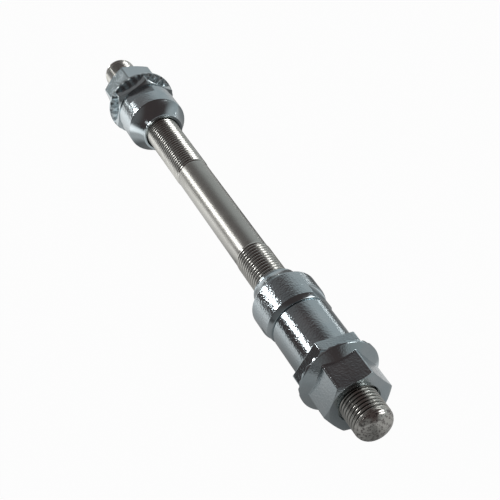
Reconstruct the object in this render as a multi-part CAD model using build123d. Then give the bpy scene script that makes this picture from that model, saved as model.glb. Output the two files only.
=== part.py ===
from build123d import *
import os
from math import asin, atan, cos, degrees, radians, tan

# Solid rear hub axle of a bicycle, in millimetres.
# The axle lies along X with its mid-length at the origin, and the drive side is +X.

# How the pieces stand along the axle
over_locknuts = 126.0
axle_overhang = 20.5
drive_side_shift = 1.5

# Axle
thread_diameter = 9.5
shank_diameter = 9.15
left_thread_length = 63.1
right_thread_length = 65.2
thread_runout = 0.6
tip_crown_radius = 7.0
tip_rounding = 2.4

# Fits
thread_clearance = 0.05
spacer_clearance = 0.25

# Bearing cone
cone_diameter = 17.3
cone_length = 14.4
cone_body_length = 9.4
rim_chamfer = 0.3
race_hollow = 0.3
collar_diameter = 11.9
collar_length = 0.6
rear_chamfer_length = 1.2
rear_chamfer_depth = 0.75
wrench_flat_depth = 1.15
wrench_flat_length = 4.2

# Spacer sleeve
spacer_diameter = 15.4
spacer_length = 14.75
spacer_chamfer = 0.35

# Locknut
locknut_across_flats = 17.0
locknut_thickness = 3.5

# Axle nut
nut_across_flats = 15.0
nut_height = 9.9
flange_diameter = 20.2
flange_rim = 0.8
flange_slope = 32.0
tooth_count = 28
tooth_depth = 0.4
tooth_gap_share = 0.8
tooth_inner_diameter = 16.6

# Thread mouths and hexagon corners
mouth_chamfer = 0.5
corner_chamfer_slope = 30.0

# How far each piece is turned about the axle, in degrees
right_cone_turn = 37.0
left_cone_turn = 108.0
right_locknut_turn = -2.5
left_locknut_turn = 24.0
right_nut_turn = 9.0
left_nut_turn = 48.0

# Worked out from the sizes above
axle_length = over_locknuts + 2 * axle_overhang
thread_radius = thread_diameter / 2
shank_radius = shank_diameter / 2
bore_radius = thread_radius + thread_clearance
half_length = axle_length / 2
right_clamp_face = over_locknuts / 2 + drive_side_shift
left_clamp_face = right_clamp_face - over_locknuts


def turned(profile):
    """Revolves a closed outline, drawn with x along the axle and y outwards, about the axle."""
    return revolve(make_face(profile), Axis.X)


def corner_radius(across_flats):
    return across_flats / 2 / cos(radians(30))


def axle_solid():
    """Rod with a thread at each end, a thinner rolled shank between and domed tips."""
    left_shoulder = -half_length + left_thread_length
    right_shoulder = half_length - right_thread_length
    crown_angle = degrees(asin(thread_radius / tip_crown_radius))
    crown_centre = half_length - tip_crown_radius
    crown_edge = crown_centre + tip_crown_radius * cos(radians(crown_angle))
    left_crown = CenterArc((-crown_centre, 0), tip_crown_radius, 180 - crown_angle, crown_angle)
    right_crown = CenterArc((crown_centre, 0), tip_crown_radius, 0, crown_angle)
    top = Polyline(
        (-crown_edge, thread_radius),
        (left_shoulder, thread_radius),
        (left_shoulder + thread_runout, shank_radius),
        (right_shoulder - thread_runout, shank_radius),
        (right_shoulder, thread_radius),
        (crown_edge, thread_radius),
    )
    axis_line = Line((-half_length, 0), (half_length, 0))
    outline = make_face(left_crown + top + right_crown + axis_line)
    tip_corners = [
        outline.vertices().sort_by_distance((side * crown_edge, thread_radius))[0]
        for side in (-1, 1)
    ]
    return revolve(fillet(tip_corners, tip_rounding), Axis.X)


def bore(start, end):
    """What a thread's bore removes between two places along the axle, with a chamfered mouth at each."""
    mouth_radius = bore_radius + mouth_chamfer
    return turned(Polyline(
        (start, 0),
        (start, mouth_radius),
        (start + mouth_chamfer, bore_radius),
        (end - mouth_chamfer, bore_radius),
        (end, mouth_radius),
        (end, 0),
        close=True,
    ))


def cone_solid():
    """Bearing cone with its rear face at the origin and its collar towards -X."""
    body_radius = cone_diameter / 2
    collar_radius = collar_diameter / 2
    rim = (-cone_body_length, body_radius)
    race_end = (-cone_length + collar_length, collar_radius)
    rear = Polyline(
        (-cone_length, 0),
        (0, 0),
        (0, body_radius - rear_chamfer_depth),
        (-rear_chamfer_length, body_radius),
        rim,
    )
    race = SagittaArc(rim, race_end, race_hollow)
    collar = Polyline(race_end, (-cone_length, collar_radius), (-cone_length, 0))
    outline = make_face(rear + race + collar)
    rim_corner = outline.vertices().sort_by_distance(rim)[0]
    outline = chamfer(rim_corner, rim_chamfer)
    solid = revolve(outline, Axis.X) - bore(-cone_length, 0)
    for side in (1, -1):
        flat_middle = side * (body_radius - wrench_flat_depth / 2)
        solid -= Pos(-wrench_flat_length / 2, flat_middle, 0) * Box(
            wrench_flat_length, wrench_flat_depth, cone_diameter
        )
    return solid


def spacer_solid():
    """Plain sleeve between cone and locknut, with its outboard end at the origin."""
    outer = spacer_diameter / 2
    inner = thread_radius + spacer_clearance
    return turned(Polyline(
        (-spacer_length, inner),
        (-spacer_length, outer - spacer_chamfer),
        (-spacer_length + spacer_chamfer, outer),
        (-spacer_chamfer, outer),
        (0, outer - spacer_chamfer),
        (0, inner),
        close=True,
    ))


def hexagon_bar(across_flats, start, end):
    section = RegularPolygon(corner_radius(across_flats), 6)
    return Pos(start, 0, 0) * extrude(Plane.YZ * section, end - start)


def chamfered_envelope(across_flats, start, end):
    """Round form that clips a hexagon's corners back to its flats at the end."""
    outside = corner_radius(across_flats)
    face_radius = across_flats / 2
    cut_back = (outside - face_radius) * tan(radians(corner_chamfer_slope))
    return turned(Polyline(
        (start, 0),
        (start, outside),
        (end - cut_back, outside),
        (end, face_radius),
        (end, 0),
        close=True,
    ))


def locknut_solid():
    """Thin hexagon nut, chamfered on one side only, with its chamfered face at the origin."""
    blank = hexagon_bar(locknut_across_flats, -locknut_thickness, 0)
    envelope = chamfered_envelope(locknut_across_flats, -locknut_thickness, 0)
    return (blank & envelope) - bore(-locknut_thickness, 0)


def flange_tooth_gap():
    """V-shaped gap between two teeth, tilted so that it deepens from nothing to the flange's edge."""
    outer = flange_diameter / 2
    inner = tooth_inner_diameter / 2
    half_width = outer * tan(radians(180 / tooth_count)) * tooth_gap_share
    section = Polyline(
        (0, 0),
        (-2 * half_width, -2 * tooth_depth),
        (2 * half_width, -2 * tooth_depth),
        close=True,
    )
    tilt = degrees(atan(tooth_depth / (outer - inner)))
    gap = extrude(Plane.ZX * make_face(section), 2 * (outer - inner))
    return Pos(0, inner, 0) * Rot(Z=-tilt) * gap


def axle_nut_solid():
    """Hexagon nut with a serrated flange, with its inboard face at the origin."""
    face_radius = nut_across_flats / 2
    flange_radius = flange_diameter / 2
    slope_height = (flange_radius - face_radius) * tan(radians(flange_slope))
    flange = turned(Polyline(
        (0, 0),
        (0, flange_radius),
        (flange_rim, flange_radius),
        (flange_rim + slope_height, face_radius),
        (flange_rim + slope_height, 0),
        close=True,
    ))
    envelope = chamfered_envelope(nut_across_flats, 0, nut_height)
    hexagon = hexagon_bar(nut_across_flats, 0, nut_height) & envelope
    gap = flange_tooth_gap()
    gaps = [Rot(X=k * 360 / tooth_count) * gap for k in range(tooth_count)]
    return (hexagon + flange) - bore(0, nut_height) - gaps


def on_right(solid, place, turn=0):
    return Pos(place, 0, 0) * Rot(X=turn) * solid


def on_left(solid, place, turn=0):
    """Stands a piece the other way round, so that its outboard side points to -X."""
    return Pos(place, 0, 0) * Rot(X=turn) * Rot(Z=180) * solid


def pieces():
    """Every piece in its place. Both locknuts stand with their chamfered sides towards +X."""
    cone = cone_solid()
    locknut = locknut_solid()
    nut = axle_nut_solid()
    right_spacer_end = right_clamp_face - locknut_thickness
    right_cone_rear = right_spacer_end - spacer_length
    left_cone_rear = left_clamp_face + locknut_thickness
    return {
        "axle": axle_solid(),
        "right_cone": on_right(cone, right_cone_rear, right_cone_turn),
        "right_spacer": on_right(spacer_solid(), right_spacer_end),
        "right_locknut": on_right(locknut, right_clamp_face, right_locknut_turn),
        "right_axle_nut": on_right(nut, right_clamp_face, right_nut_turn),
        "left_cone": on_left(cone, left_cone_rear, left_cone_turn),
        "left_locknut": on_right(locknut, left_cone_rear, left_locknut_turn),
        "left_axle_nut": on_left(nut, left_clamp_face, left_nut_turn),
    }


os.makedirs("parts", exist_ok=True)
for name, solid in pieces().items():
    solid.label = name
    export_step(solid, os.path.join("parts", name + ".step"))
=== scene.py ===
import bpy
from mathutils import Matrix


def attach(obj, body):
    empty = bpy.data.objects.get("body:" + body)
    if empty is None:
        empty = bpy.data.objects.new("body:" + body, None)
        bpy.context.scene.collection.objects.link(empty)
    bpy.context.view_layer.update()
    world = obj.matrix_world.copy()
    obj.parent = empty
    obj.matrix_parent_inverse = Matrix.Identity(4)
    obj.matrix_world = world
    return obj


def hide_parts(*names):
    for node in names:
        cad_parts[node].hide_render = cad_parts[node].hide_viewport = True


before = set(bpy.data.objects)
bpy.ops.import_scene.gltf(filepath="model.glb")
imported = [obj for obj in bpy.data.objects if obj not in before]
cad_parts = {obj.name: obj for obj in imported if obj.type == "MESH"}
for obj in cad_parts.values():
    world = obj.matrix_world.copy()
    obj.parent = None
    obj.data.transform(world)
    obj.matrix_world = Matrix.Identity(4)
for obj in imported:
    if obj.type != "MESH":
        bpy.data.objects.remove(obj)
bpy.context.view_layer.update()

import math

import bmesh
import bpy
import numpy as np
from mathutils import Matrix, Vector

# Looks of a bicycle hub axle: a threaded rod that carries two bearing cones, a spacer, two locknuts
# and two serrated axle nuts. Lengths are in millimetres until a mesh is made, and the axle is along X.
# Angles are in degrees.
MM = 0.001

# Sizes that the solids have too
thread_radius = 4.75
shank_radius = 4.575
half_length = 83.5
left_thread_end = -20.4
right_thread_end = 18.3
tip_crown_radius = 7.0
tip_rounding = 2.4
bore_radius = 4.8
mouth_chamfer = 0.5
right_clamp_face = 64.5
left_clamp_face = -61.5
locknut_thickness = 3.5
locknut_flat = 8.5
spacer_length = 14.75
spacer_radius = 7.7
spacer_bore = 5.0
spacer_chamfer = 0.35
cone_radius = 8.65
cone_length = 14.4
cone_body_length = 9.4
race_hollow = 0.3
collar_radius = 5.95
collar_length = 0.6
rear_chamfer_length = 1.2
rear_chamfer_depth = 0.75
wrench_flat = 7.5
wrench_flat_length = 4.2
nut_flat = 7.5
nut_height = 9.9
flange_radius = 10.1
flange_rim = 0.8
flange_slope = 32.0
tooth_count = 28
tooth_depth = 0.4
tooth_inner_radius = 8.3
tooth_gap_share = 0.8
corner_slope = 30.0

# How far each piece is turned about the axle
right_cone_turn = 37.0
left_cone_turn = 108.0
right_locknut_turn = -2.5
left_locknut_turn = 24.0
right_nut_turn = 9.0
left_nut_turn = 48.0

# Where the pieces stand along the axle
right_spacer_end = right_clamp_face - locknut_thickness
right_cone_rear = right_spacer_end - spacer_length
left_cone_rear = left_clamp_face + locknut_thickness

# Radii of edges that are sharp in the solids or only chamfered
bore_edge = 0.05
mouth_edge = 0.08
collar_edge = 0.15
race_end_edge = 0.25
cone_rim_edge = 0.6
flat_end_edge = 0.45
flat_foot_edge = 0.6
rear_chamfer_edge = 0.3
rear_face_edge = 0.5
spacer_bore_edge = 0.1
spacer_face_edge = 0.15
spacer_side_edge = 0.2
hexagon_edge = 0.15
hexagon_face_edge = 0.12
tooth_edge = 0.08
flange_edge = 0.3
locknut_corner_edge = 0.35
nut_corner_edge = 0.65

# Thread form: each row is a share of the pitch, and how much of the depth is cut there
pitch = 25.4 / 26
thread_depth = 0.44
thread_rows = (
    (0.14, 0.0), (0.19, 0.10), (0.38, 0.92), (0.44, 1.0),
    (0.56, 1.0), (0.62, 0.92), (0.81, 0.10), (0.86, 0.0),
)
thread_fade = 1.4
root_radius = thread_radius - thread_depth

# How finely the meshes are cut, with more angles near corners, flats and tooth gaps
angle_step = 2.0
arc_steps = 4
rod_steps = 56
shank_rings = 20
dome_rings = 22
race_rings = 14
corner_spread = 3.0
corner_steps = 10
flat_spread = 1.2
flat_steps = 4
gap_steps = 5
# Turns of thread beyond each end, which are pressed flat there
spare_turns = 2
# Places along the axle where the dome may start: first, last and step
dome_search = (80, 83, 0.01)

# How much of an edge a rounding may take, and the bend, in radians, that stays as it is
most_of_edge = 0.45
nearly_straight = math.pi - 1e-4

# Least sizes, which keep an outline's points apart where a step or a chamfer runs out
least_cut = 0.03
least_flat_step = 0.012
least_back = 0.04
least_across = 0.01
# Thread faces that are narrower are left out
no_width = 1e-6

# How near two points are merged and which edges go, in metres, and how far large faces lead the shading
weld_distance = 2e-7
sliver_length = 1e-8
face_weight = 90


def tangent(degrees):
    return math.tan(math.radians(degrees))


def rounded(corners):
    """A closed outline (x, r) from corners (x, r, radius), with as many points in every arc.

    An arc takes at most a set share of the edges beside it.
    """
    points = [np.array(corner[:2], float) for corner in corners]
    out = []
    for k, here in enumerate(points):
        before = points[k - 1] - here
        after = points[(k + 1) % len(points)] - here
        back_length = np.linalg.norm(before)
        fore_length = np.linalg.norm(after)
        back_way = before / back_length
        fore_way = after / fore_length
        bend = math.acos(max(-1.0, min(1.0, float(back_way @ fore_way))))
        reach = corners[k][2] / math.tan(bend / 2) if bend < nearly_straight else 0.0
        reach = min(reach, most_of_edge * back_length, most_of_edge * fore_length)
        start = here + back_way * reach
        end = here + fore_way * reach
        for s in range(arc_steps + 1):
            t = s / arc_steps
            out.append((1 - t) ** 2 * start + 2 * t * (1 - t) * here + t ** 2 * end)
    return out


def spread(centre, half_width, count):
    """Angles on both sides of a centre."""
    return [centre + half_width * k / count for k in range(-count, count + 1)]


def sorted_angles(special):
    """Angles round the axle: an even spread plus the ones that a shape's edges need."""
    angles = set(round(a, 4) for a in np.arange(0, 360, angle_step))
    angles.update(round(a % 360, 4) for a in special)
    return sorted(angles)


def corner_angles():
    """Angles near the six corners of a hexagon."""
    special = []
    for k in range(6):
        special += spread(k * 60, corner_spread, corner_steps)
    return special


def hexagon_radius(angle, flat, rounding):
    """Distance from the axis to a hexagon with rounded corners, one of which is at angle 0."""
    from_corner = abs((angle + 30) % 60 - 30)
    from_flat = 30 - from_corner
    flat_end = math.degrees(math.atan((flat - rounding) * tangent(30) / flat))
    if from_flat <= flat_end:
        return flat / math.cos(math.radians(from_flat))
    centre = (flat - rounding) / math.cos(math.radians(30))
    side = centre * math.sin(math.radians(from_corner))
    return centre * math.cos(math.radians(from_corner)) + math.sqrt(rounding ** 2 - side ** 2)


def put_mesh(name, verts, faces, place, weighted=True):
    """Makes an object from points in millimetres, with its place in its mesh.

    Weighted shading keeps the large faces flat. The thread has none.
    """
    mesh = bpy.data.meshes.new(name)
    mesh.from_pydata([tuple(v) for v in verts], [], faces)
    mesh.transform(place)
    mesh.transform(Matrix.Scale(MM, 4))
    build = bmesh.new()
    build.from_mesh(mesh)
    bmesh.ops.remove_doubles(build, verts=build.verts, dist=weld_distance)
    bmesh.ops.dissolve_degenerate(build, edges=build.edges, dist=sliver_length)
    bmesh.ops.recalc_face_normals(build, faces=build.faces)
    build.to_mesh(mesh)
    build.free()
    for polygon in mesh.polygons:
        polygon.use_smooth = True
    piece = bpy.data.objects.new(name, mesh)
    bpy.context.scene.collection.objects.link(piece)
    if weighted:
        weigh = piece.modifiers.new("even shading", "WEIGHTED_NORMAL")
        weigh.weight = face_weight
    return piece


def skin(columns, turns, closed):
    """Points and faces of outlines (x, r) that stand round the axis, at turns in radians."""
    verts = []
    for turn, column in zip(turns, columns):
        cosine, sine = math.cos(turn), math.sin(turn)
        verts.extend((x, r * cosine, r * sine) for x, r in column)
    faces = []
    count = len(columns[0])
    for k in range(len(columns)):
        near = k * count
        far = ((k + 1) % len(columns)) * count
        for j in range(count if closed else count - 1):
            after = (j + 1) % count
            faces.append((near + j, near + after, far + after, far + j))
    return verts, faces


def lathed(name, outline_at, special, place):
    """A body whose closed outline may change with the angle."""
    angles = sorted_angles(special)
    columns = [outline_at(angle) for angle in angles]
    verts, faces = skin(columns, [math.radians(angle) for angle in angles], closed=True)
    return put_mesh(name, verts, faces, place)


def on_right(place, turn=0.0):
    """Stands a piece in its place, with its outboard side to +X."""
    return Matrix.Translation((place, 0, 0)) @ Matrix.Rotation(math.radians(turn), 4, "X")


def on_left(place, turn):
    """Stands a piece the other way round, so that its outboard side points to -X."""
    return on_right(place, turn) @ Matrix.Rotation(math.pi, 4, "Z")


# Axle

def tip_radius(x):
    """Radius of the rod's smooth outline near a tip, x measured from mid-length."""
    centre_x = half_length - tip_crown_radius
    rounding_y = thread_radius - tip_rounding
    reach = tip_crown_radius - tip_rounding
    rounding_x = centre_x + math.sqrt(reach ** 2 - rounding_y ** 2)
    away = abs(x)
    if away <= rounding_x:
        return thread_radius
    join = rounding_x + tip_rounding * (rounding_x - centre_x) / reach
    if away <= join:
        return rounding_y + math.sqrt(tip_rounding ** 2 - (away - rounding_x) ** 2)
    return math.sqrt(max(0.0, tip_crown_radius ** 2 - (away - centre_x) ** 2))


def smooth(t):
    """Eases from 0 to 1."""
    t = max(0.0, min(1.0, t))
    return t * t * (3 - 2 * t)


def helix(start, end, shank_end):
    """Helical thread between two places, fading into the shank at one and into the tip at the other."""
    first = math.floor(start / pitch) - spare_turns
    last = math.ceil(end / pitch) + spare_turns
    rows = [((k + phase) * pitch, depth) for k in range(first, last) for phase, depth in thread_rows]
    verts = []
    for n in range(rod_steps + 1):
        turn = n / rod_steps
        cosine, sine = math.cos(turn * 2 * math.pi), math.sin(turn * 2 * math.pi)
        for row, depth in rows:
            x = min(max(row + turn * pitch, start), end)
            fade = smooth(abs(x - shank_end) / thread_fade)
            cut = thread_radius - thread_depth * depth
            r = shank_radius + (cut - shank_radius) * fade
            r = min(r, tip_radius(x))
            verts.append((x, r * cosine, r * sine))
    faces = []
    count = len(rows)
    for n in range(rod_steps):
        for j in range(count - 1):
            near, far = n * count + j, (n + 1) * count + j
            one_way = abs(verts[near][0] - verts[far + 1][0])
            other_way = abs(verts[near + 1][0] - verts[far][0])
            if max(one_way, other_way) > no_width:
                faces.append((near, near + 1, far + 1, far))
    return verts, faces


def tube(run):
    """Open surface over a run of (x, r), cut at the same turns as the thread."""
    turns = [n / rod_steps * 2 * math.pi for n in range(rod_steps)]
    return skin([run] * rod_steps, turns, closed=False)


def axle_piece():
    """Rod with a rolled thread at each end, a plain shank and smooth domed tips."""
    dome_start = next(x for x in np.arange(*dome_search) if tip_radius(x) <= root_radius)
    quarter = np.linspace(0, 1, dome_rings)
    dome = [dome_start + (half_length - dome_start) * math.sin(t * math.pi / 2) for t in quarter]
    shank = np.linspace(left_thread_end, right_thread_end, shank_rings)
    verts, faces = [], []
    for more_verts, more_faces in (
        helix(-dome_start, left_thread_end, left_thread_end),
        helix(right_thread_end, dome_start, right_thread_end),
        tube([(x, shank_radius) for x in shank]),
        tube([(x, tip_radius(x)) for x in dome]),
        tube([(-x, tip_radius(x)) for x in dome]),
    ):
        offset = len(verts)
        verts.extend(more_verts)
        faces.extend(tuple(i + offset for i in face) for face in more_faces)
    return put_mesh("axle_rod", verts, faces, Matrix.Identity(4), weighted=False)


# Cones, spacer and nuts

def cone_piece(name, place):
    """Bearing cone with a hollow race, a short collar and two wrench flats, at angles 0 and 180."""
    rim = np.array((-cone_body_length, cone_radius))
    race_end = np.array((-cone_length + collar_length, collar_radius))
    chord = race_end - rim
    inward = np.array((-chord[1], chord[0])) / float(np.linalg.norm(chord))
    race = []
    for t in np.linspace(0, 1, race_rings)[1:-1]:
        dip = race_hollow * (1 - (2 * t - 1) ** 2)
        race.append((*(rim + chord * t + inward * dip), 0.0))
    race.reverse()
    edge_angle = math.degrees(math.acos(wrench_flat / cone_radius))
    special = []
    for side in (0, 180):
        for edge in (side - edge_angle, side + edge_angle):
            special += spread(edge, flat_spread, flat_steps)

    def outline(angle):
        across = abs(math.cos(math.radians(angle)))
        flat = min(cone_radius - least_flat_step, wrench_flat / max(across, least_across))
        face_radius = min(cone_radius - rear_chamfer_depth, flat - least_cut)
        chamfer_left = (flat - cone_radius + rear_chamfer_depth) / rear_chamfer_depth
        back = max(least_back, chamfer_left * rear_chamfer_length)
        return rounded([
            (-mouth_chamfer, bore_radius, bore_edge),
            (-cone_length + mouth_chamfer, bore_radius, bore_edge),
            (-cone_length, bore_radius + mouth_chamfer, mouth_edge),
            (-cone_length, collar_radius, collar_edge),
            (*race_end, race_end_edge),
            *race,
            (*rim, cone_rim_edge),
            (-wrench_flat_length, cone_radius, flat_end_edge),
            (-wrench_flat_length, flat, flat_foot_edge),
            (-back, flat, rear_chamfer_edge),
            (0, face_radius, rear_face_edge),
            (0, bore_radius + mouth_chamfer, mouth_edge),
        ])

    return lathed(name, outline, special, place)


def spacer_piece(name, place):
    """Plain sleeve, chamfered at both ends."""
    outline = rounded([
        (-spacer_length, spacer_bore, spacer_bore_edge),
        (-spacer_length, spacer_radius - spacer_chamfer, spacer_face_edge),
        (-spacer_length + spacer_chamfer, spacer_radius, spacer_side_edge),
        (-spacer_chamfer, spacer_radius, spacer_side_edge),
        (0, spacer_radius - spacer_chamfer, spacer_face_edge),
        (0, spacer_bore, spacer_bore_edge),
    ])
    return lathed(name, lambda angle: outline, [], place)


def locknut_piece(name, place):
    """Thin hexagon nut, chamfered on one side only."""
    def outline(angle):
        outside = hexagon_radius(angle, locknut_flat, locknut_corner_edge)
        cut = max(least_cut, (outside - locknut_flat) * tangent(corner_slope))
        return rounded([
            (-mouth_chamfer, bore_radius, bore_edge),
            (-locknut_thickness + mouth_chamfer, bore_radius, bore_edge),
            (-locknut_thickness, bore_radius + mouth_chamfer, mouth_edge),
            (-locknut_thickness, outside, hexagon_edge),
            (-cut, outside, hexagon_edge),
            (0, locknut_flat - least_cut, hexagon_face_edge),
            (0, bore_radius + mouth_chamfer, mouth_edge),
        ])

    return lathed(name, outline, corner_angles(), place)


def axle_nut_piece(name, place):
    """Hexagon nut with a cone-shaped flange, whose inboard face is cut into teeth."""
    tooth_angle = 360 / tooth_count
    gap_half = math.degrees(math.atan(tangent(tooth_angle / 2) * tooth_gap_share))
    special = corner_angles()
    for k in range(tooth_count):
        special += spread(k * 360 / tooth_count, gap_half, gap_steps)

    def outline(angle):
        outside = hexagon_radius(angle, nut_flat, nut_corner_edge)
        from_gap = abs((angle + tooth_angle / 2) % tooth_angle - tooth_angle / 2)
        gap = tooth_depth * max(0.0, 1 - from_gap / gap_half)
        cut = max(least_cut, (outside - nut_flat) * tangent(corner_slope))
        foot = flange_rim + (flange_radius - outside) * tangent(flange_slope)
        return rounded([
            (nut_height - mouth_chamfer, bore_radius, bore_edge),
            (mouth_chamfer, bore_radius, bore_edge),
            (0, bore_radius + mouth_chamfer, mouth_edge),
            (0, tooth_inner_radius, 0.0),
            (gap, flange_radius, tooth_edge),
            (flange_rim, flange_radius, flange_edge),
            (foot, outside, flange_edge),
            (nut_height - cut, outside, hexagon_edge),
            (nut_height, nut_flat - least_cut, hexagon_face_edge),
            (nut_height, bore_radius + mouth_chamfer, mouth_edge),
        ])

    return lathed(name, outline, special, place)


# Materials

def new_material(name):
    material = bpy.data.materials.new(name)
    material.use_nodes = True
    return material, material.node_tree, material.node_tree.nodes["Principled BSDF"]


def object_place(tree):
    return tree.nodes.new("ShaderNodeTexCoord").outputs["Object"]


def apart(tree, vector):
    """A vector's X, Y and Z."""
    node = tree.nodes.new("ShaderNodeSeparateXYZ")
    tree.links.new(vector, node.inputs["Vector"])
    return node.outputs


def noise(tree, scale, detail, rough):
    """Noise over the object, with scale in cells to a metre."""
    texture = tree.nodes.new("ShaderNodeTexNoise")
    texture.inputs["Scale"].default_value = scale
    texture.inputs["Detail"].default_value = detail
    texture.inputs["Roughness"].default_value = rough
    tree.links.new(object_place(tree), texture.inputs["Vector"])
    return texture.outputs["Fac"]


def calculate(tree, operation, first, *others):
    """Works one value out of others, taken two at a time."""
    for other in others or (0.0,):
        node = tree.nodes.new("ShaderNodeMath")
        node.operation = operation
        for socket, value in zip(node.inputs, (first, other)):
            if isinstance(value, (int, float)):
                socket.default_value = value
            else:
                tree.links.new(value, socket)
        first = node.outputs["Value"]
    return first


def ramp(tree, value, stops):
    node = tree.nodes.new("ShaderNodeValToRGB")
    elements = node.color_ramp.elements
    for element, (place, colour) in zip(elements, stops):
        element.position = place
        element.color = (*colour, 1.0)
    tree.links.new(value, node.inputs["Fac"])
    return node.outputs["Color"]


def blend(tree, share, under, over):
    """Lays one colour over another. Each is a tone or a node's colour."""
    node = tree.nodes.new("ShaderNodeMix")
    node.data_type = "RGBA"
    tree.links.new(share, node.inputs["Factor"])
    for socket, colour in ((node.inputs["A"], under), (node.inputs["B"], over)):
        if isinstance(colour, tuple):
            socket.default_value = (*colour, 1.0)
        else:
            tree.links.new(colour, socket)
    return node.outputs["Result"]


def map_range(tree, value, low, high, out_low, out_high):
    node = tree.nodes.new("ShaderNodeMapRange")
    node.inputs["From Min"].default_value = low
    node.inputs["From Max"].default_value = high
    node.inputs["To Min"].default_value = out_low
    node.inputs["To Max"].default_value = out_high
    tree.links.new(value, node.inputs["Value"])
    return node.outputs["Result"]


def bump(tree, height, distance, normal=None):
    node = tree.nodes.new("ShaderNodeBump")
    node.inputs["Strength"].default_value = 1.0
    node.inputs["Distance"].default_value = distance
    tree.links.new(height, node.inputs["Height"])
    if normal is not None:
        tree.links.new(normal, node.inputs["Normal"])
    return node.outputs["Normal"]


# Plating and bare steel: a noise is a detail and a roughness, a range its two ends and what they give
drift_noise = (4.0, 0.6)
gloss_noise = (5.0, 0.65)
relief_noise = (2.0, 0.5)
gloss_scale = 2.3
gloss_range = (0.3, 0.7)
slope_range = (0.25, 0.45, 1.0, 0.0)
zinc_tones = ((0.3, (0.48, 0.56, 0.59)), (0.7, (0.60, 0.65, 0.67)))
rod_tones = ((0.3, (0.80, 0.795, 0.74)), (0.7, (0.90, 0.895, 0.85)))

# Threads and tips of the rod
# Painted shade and grime: darker in the thread roots and a little darker over the whole thread, short of
# the tips
root_shade_and_grime_tone = (0.035, 0.032, 0.028)
root_margin = 0.03
crest_share = 0.10
thread_shade_and_grime = 0.2
thread_polish = 0.6
shade_and_grime_end = 80.4
tip_tone = (0.20, 0.18, 0.18)
tip_fade_start = half_length - 3.4
tip_fade_end = half_length - 2.2
speck_scale = 1500.0
speck_noise = (3.0, 0.6)
speck_range = (0.50, 0.60, 0.12, 0.85)


def metal(name, tones, tone_scale, roughness, relief, smooth_slopes=False):
    """Metal with tones that drift, a patchy gloss and an uneven surface (scale, height).

    With smooth_slopes, only what faces away from the axis is uneven.
    """
    material, tree, shader = new_material(name)
    if smooth_slopes:
        facing = apart(tree, tree.nodes.new("ShaderNodeNewGeometry").outputs["True Normal"])
        grain = map_range(tree, calculate(tree, "ABSOLUTE", facing["X"]), *slope_range)
    drift = noise(tree, tone_scale, *drift_noise)
    tree.links.new(ramp(tree, drift, tones), shader.inputs["Base Color"])
    patch = noise(tree, tone_scale * gloss_scale, *gloss_noise)
    tree.links.new(map_range(tree, patch, *gloss_range, *roughness), shader.inputs["Roughness"])
    normal = None
    for scale, height in relief:
        uneven = noise(tree, scale, *relief_noise)
        if smooth_slopes:
            uneven = calculate(tree, "MULTIPLY", uneven, grain)
        normal = bump(tree, uneven, height * MM, normal)
    tree.links.new(normal, shader.inputs["Normal"])
    shader.inputs["Metallic"].default_value = 1.0
    return material


def paint_rod_shade_grime_and_specks(material):
    """Darkens the thread roots, and the whole thread a little, with painted shade and grime; polishes the
    threads and mottles the tips.
    """
    tree = material.node_tree
    shader = tree.nodes["Principled BSDF"]
    colour = shader.inputs["Base Color"].links[0].from_socket
    gloss = shader.inputs["Roughness"].links[0].from_socket
    place = apart(tree, object_place(tree))
    away = calculate(tree, "ABSOLUTE", place["X"])
    across = calculate(tree, "MULTIPLY", place["Y"], place["Y"])
    height = calculate(tree, "MULTIPLY", place["Z"], place["Z"])
    radius = calculate(tree, "SQRT", calculate(tree, "ADD", across, height))
    low = (root_radius + root_margin) * MM
    high = (thread_radius - crest_share * thread_depth) * MM
    root_shade_and_grime_share = map_range(tree, radius, low, high, 1.0, 0.0)
    beyond_right = calculate(tree, "GREATER_THAN", place["X"], right_thread_end * MM)
    beyond_left = calculate(tree, "LESS_THAN", place["X"], left_thread_end * MM)
    on_thread = calculate(tree, "ADD", beyond_right, beyond_left)
    thread_shade_and_grime_share = calculate(tree, "MULTIPLY", on_thread, thread_shade_and_grime)
    short_of_tip = calculate(tree, "LESS_THAN", away, shade_and_grime_end * MM)
    share = calculate(tree, "MULTIPLY", calculate(tree, "MAXIMUM", root_shade_and_grime_share, thread_shade_and_grime_share), short_of_tip)
    # Painted shade and grime in the thread roots and over the thread
    colour = blend(tree, share, colour, root_shade_and_grime_tone)
    specks = map_range(tree, noise(tree, speck_scale, *speck_noise), *speck_range)
    tip = map_range(tree, away, tip_fade_start * MM, tip_fade_end * MM, 0.0, 1.0)
    colour = blend(tree, calculate(tree, "MULTIPLY", specks, tip), colour, tip_tone)
    tree.links.new(colour, shader.inputs["Base Color"])
    polish = map_range(tree, on_thread, 0.0, 1.0, 1.0, thread_polish)
    tree.links.new(calculate(tree, "MULTIPLY", gloss, polish), shader.inputs["Roughness"])


zinc = metal("bright_zinc", zinc_tones, 120.0, (0.09, 0.16), [(260.0, 0.02), (2200.0, 0.035)])
cone_zinc = metal(
    "grained_zinc", zinc_tones, 120.0, (0.12, 0.22), [(260.0, 0.02), (2000.0, 0.085)],
    smooth_slopes=True,
)
sleeve_zinc = metal("sleeve_zinc", zinc_tones, 120.0, (0.09, 0.16), [(260.0, 0.02), (2000.0, 0.055)])
rod_steel = metal("rod_steel", rod_tones, 90.0, (0.29, 0.38), [(300.0, 0.015), (2000.0, 0.02)])
paint_rod_shade_grime_and_specks(rod_steel)


# Pieces on their bodies

def stand(piece, material, body, node):
    piece.data.materials.append(material)
    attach(piece, body)
    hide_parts(node)


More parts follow.
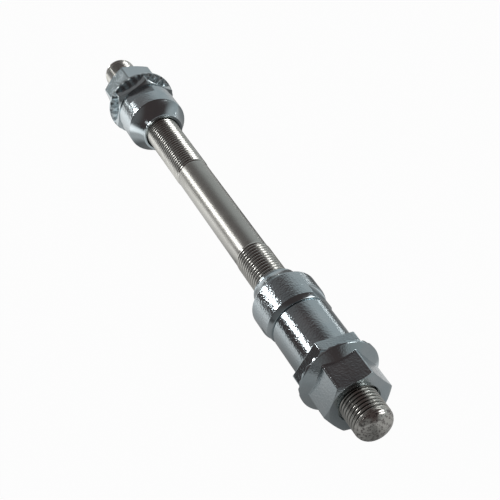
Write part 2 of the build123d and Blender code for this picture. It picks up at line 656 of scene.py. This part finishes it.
stand(axle_piece(), rod_steel, "axle_set", "axle")
stand(cone_piece("cone_right", on_right(right_cone_rear, right_cone_turn)), cone_zinc,
      "axle_set", "right_cone")
stand(cone_piece("cone_left", on_left(left_cone_rear, left_cone_turn)), cone_zinc,
      "axle_set", "left_cone")
stand(spacer_piece("spacer_sleeve", on_right(right_spacer_end)), sleeve_zinc,
      "axle_set", "right_spacer")
stand(locknut_piece("locknut_right_body", on_right(right_clamp_face, right_locknut_turn)), zinc,
      "axle_set", "right_locknut")
stand(locknut_piece("locknut_left_body", on_right(left_cone_rear, left_locknut_turn)), zinc,
      "axle_set", "left_locknut")
stand(axle_nut_piece("nut_right_body", on_right(right_clamp_face, right_nut_turn)), zinc,
      "right_nut", "right_axle_nut")
stand(axle_nut_piece("nut_left_body", on_left(left_clamp_face, left_nut_turn)), zinc,
      "left_nut", "left_axle_nut")

# Camera: its clip range is in metres
camera_azimuth = 65.304
camera_elevation = 39.235
camera_place = (222.446, -94.545, 185.655)
camera_lens = 82.70
camera_sensor = 36.0
camera_clip = (0.01, 50.0)


def put_camera():
    azimuth, elevation = math.radians(camera_azimuth), math.radians(camera_elevation)
    along, across = math.cos(azimuth), math.sin(azimuth)
    level, rise = math.cos(elevation), math.sin(elevation)
    right = Vector((along, across, 0))
    up = Vector((-across * rise, along * rise, level))
    back = Vector((across * level, -along * level, rise))
    data = bpy.data.cameras.new("camera")
    data.lens = camera_lens
    data.sensor_width = camera_sensor
    data.clip_start, data.clip_end = camera_clip
    camera = bpy.data.objects.new("camera", data)
    bpy.context.scene.collection.objects.link(camera)
    way = Matrix((right, up, back)).transposed().to_4x4()
    camera.matrix_world = Matrix.Translation(Vector(camera_place) * MM) @ way
    bpy.context.scene.camera = camera


# Floor, in metres: a range is two places along X or Y and how bright the metal mirrors it there, which is
# painted light and shade
floor_reach = 3.0
floor_corners = 64
floor_white = (0.95, 0.95, 0.95)
floor_roughness = 0.9
floor_glow_seen = 0.97
floor_glow_mirrored = 1.0
lit_side_range = (-0.004, 0.012, 1.0, 0.0)
close_by_range = (-0.030, -0.004, 1.0, 0.55)
along_range = (-0.020, 0.050, 1.22, 0.32)
far_fade_range = (-0.115, -0.050, 0.05, 1.0)
shade_near_range = (0.005, 0.055, 0.12, 0.36)
shade_far_range = (-0.090, -0.040, 0.55, 0.12)
least_tone = 0.08
# Painted patches of light and shade in the mirrored floor: centre, how far it is full, where it ends, and
# how bright it is
painted_floor_patches = (
    ((-0.032, -0.038, 0.0), 0.006, 0.024, 1.5),
    ((-0.050, -0.013, 0.0), 0.010, 0.016, 0.5),
    ((0.012, -0.008, 0.0), 0.005, 0.010, 0.32),
    ((-0.047, -0.003, 0.0), 0.006, 0.012, 0.15),
    ((-0.037, 0.013, 0.0), 0.003, 0.007, 0.28),
    ((0.057, 0.014, 0.0), 0.005, 0.012, 0.85),
)


def painted_mirrored_light(tree):
    """Painted light and shade of the floor as the metal mirrors it: lit on the near side of the axle,
    shaded behind it, with the patches laid over both.
    """
    place = apart(tree, object_place(tree))
    lit_side = map_range(tree, place["Y"], *lit_side_range)
    close_by = map_range(tree, place["Y"], *close_by_range)
    along = map_range(tree, place["X"], *along_range)
    far_fade = map_range(tree, place["Y"], *far_fade_range)
    lit = calculate(tree, "MULTIPLY", along, far_fade, lit_side, close_by)
    shade_near = map_range(tree, place["X"], *shade_near_range)
    shade_far = map_range(tree, place["X"], *shade_far_range)
    shade = calculate(tree, "MAXIMUM", shade_near, shade_far)
    behind = calculate(tree, "MULTIPLY", shade, calculate(tree, "SUBTRACT", 1.0, lit_side))
    tone = calculate(tree, "MAXIMUM", lit, behind, least_tone)
    for centre, inner, outer, painted_patch_tone in painted_floor_patches:
        away = tree.nodes.new("ShaderNodeVectorMath")
        away.operation = "DISTANCE"
        tree.links.new(object_place(tree), away.inputs[0])
        away.inputs[1].default_value = centre
        share = map_range(tree, away.outputs["Value"], inner, outer, 1.0, 0.0)
        step = calculate(tree, "MULTIPLY", calculate(tree, "SUBTRACT", painted_patch_tone, tone), share)
        tone = calculate(tree, "ADD", tone, step)
    return tone


def floor_material():
    """Glows white where it is seen, and glows in painted tones of light and shade where the metal mirrors
    it.
    """
    material, tree, shader = new_material("floor_white")
    shader.inputs["Base Color"].default_value = (*floor_white, 1.0)
    shader.inputs["Roughness"].default_value = floor_roughness
    glow = tree.nodes.new("ShaderNodeEmission")
    mix = tree.nodes.new("ShaderNodeMixShader")
    path = tree.nodes.new("ShaderNodeLightPath").outputs
    # In mirrored rays the floor glows with painted light and shade
    missing = calculate(tree, "SUBTRACT", 1.0, painted_mirrored_light(tree))
    dimming = calculate(tree, "MULTIPLY", path["Is Glossy Ray"], missing)
    tree.links.new(calculate(tree, "SUBTRACT", 1.0, dimming), glow.inputs["Strength"])
    seen = calculate(tree, "MULTIPLY", path["Is Camera Ray"], floor_glow_seen)
    mirrored = calculate(tree, "MULTIPLY", path["Is Glossy Ray"], floor_glow_mirrored)
    through = calculate(tree, "MULTIPLY", path["Is Transmission Ray"], floor_glow_seen)
    tree.links.new(calculate(tree, "MAXIMUM", seen, mirrored, through), mix.inputs["Fac"])
    tree.links.new(shader.outputs["BSDF"], mix.inputs[1])
    tree.links.new(glow.outputs["Emission"], mix.inputs[2])
    tree.links.new(mix.outputs["Shader"], tree.nodes["Material Output"].inputs["Surface"])
    return material


def put_floor():
    """Round floor under the flanges, which are the widest part."""
    mesh = bpy.data.meshes.new("floor")
    build = bmesh.new()
    bmesh.ops.create_circle(build, cap_ends=True, segments=floor_corners, radius=floor_reach)
    build.to_mesh(mesh)
    build.free()
    mesh.materials.append(floor_material())
    floor = bpy.data.objects.new("floor", mesh)
    floor.location = (0, 0, -flange_radius * MM)
    bpy.context.scene.collection.objects.link(floor)


# Room: a patch is a direction, how far round it is full, where it ends, and its tone
room_tone = (0.062, 0.048, 0.047)
white_tone = (1.0, 1.0, 1.0)
room_patches = (
    ((-0.85, -0.30, 0.45), 4.0, 34.0, (0.17, 0.16, 0.16)),
    ((-0.84, -0.51, 0.19), 4.0, 14.0, (0.30, 0.31, 0.31)),
    ((-0.627, 0.696, -0.348), 50.0, 82.0, (0.46, 0.49, 0.50)),
    ((0.60, 0.79, 0.10), 14.0, 40.0, (0.34, 0.36, 0.36)),
    ((0.70, -0.70, 0.10), 10.0, 50.0, (0.16, 0.16, 0.16)),
)


def patch_mask(tree, direction, inner, outer):
    """1 within inner degrees of a direction, 0 beyond outer degrees."""
    product = tree.nodes.new("ShaderNodeVectorMath")
    product.operation = "DOT_PRODUCT"
    product.inputs[1].default_value = Vector(direction).normalized()
    tree.links.new(tree.nodes.new("ShaderNodeTexCoord").outputs["Generated"], product.inputs[0])
    node = tree.nodes.new("ShaderNodeMapRange")
    node.interpolation_type = "SMOOTHSTEP"
    node.inputs["From Min"].default_value = math.cos(math.radians(outer))
    node.inputs["From Max"].default_value = math.cos(math.radians(inner))
    tree.links.new(product.outputs["Value"], node.inputs["Value"])
    return node.outputs["Result"]


def put_room():
    """Dark room with paler patches, which the metal mirrors. Where it is seen, it is white."""
    world = bpy.data.worlds.new("studio")
    world.use_nodes = True
    tree = world.node_tree
    colour = room_tone
    for direction, inner, outer, tone in room_patches:
        colour = blend(tree, patch_mask(tree, direction, inner, outer), colour, tone)
    path = tree.nodes.new("ShaderNodeLightPath").outputs
    colour = blend(tree, path["Is Camera Ray"], colour, white_tone)
    backdrop = tree.nodes["Background"]
    tree.links.new(colour, backdrop.inputs["Color"])
    backdrop.inputs["Strength"].default_value = 1.0
    bpy.context.scene.world = world


# Lamps: name, direction, roll, width, height and brightness, with lengths in metres
lamp_distance = 0.8
lamps = (
    ("key_box", (-0.682, -0.634, 0.363), 36.0, 0.23, 0.115, 11.0),
    ("race_box", (-0.27, -0.83, 0.49), 0.0, 0.09, 0.06, 3.0),
    ("back_box", (0.51, 0.68, 0.53), 0.0, 0.32, 0.22, 4.8),
    ("low_strip", (-0.59, 0.80, 0.055), 0.0, 0.11, 0.03, 3.0),
    ("race_strip", (-0.42, 0.905, 0.03), 0.0, 0.06, 0.03, 3.0),
)


def put_lamp(name, direction, roll, width, height, brightness):
    """Soft box that faces the object's middle from a direction. Its power follows from its brightness."""
    data = bpy.data.lights.new(name, "AREA")
    data.shape = "RECTANGLE"
    data.size, data.size_y = width, height
    data.energy = brightness * math.pi * width * height
    light = bpy.data.objects.new(name, data)
    towards = Vector(direction).normalized()
    light.location = towards * lamp_distance
    light.rotation_mode = "QUATERNION"
    turn = Matrix.Rotation(math.radians(roll), 3, "Z").to_quaternion()
    light.rotation_quaternion = towards.to_track_quat("Z", "Y") @ turn
    bpy.context.scene.collection.objects.link(light)


put_camera()
put_floor()
put_room()
for lamp in lamps:
    put_lamp(*lamp)
bpy.context.scene.view_settings.view_transform = "Standard"
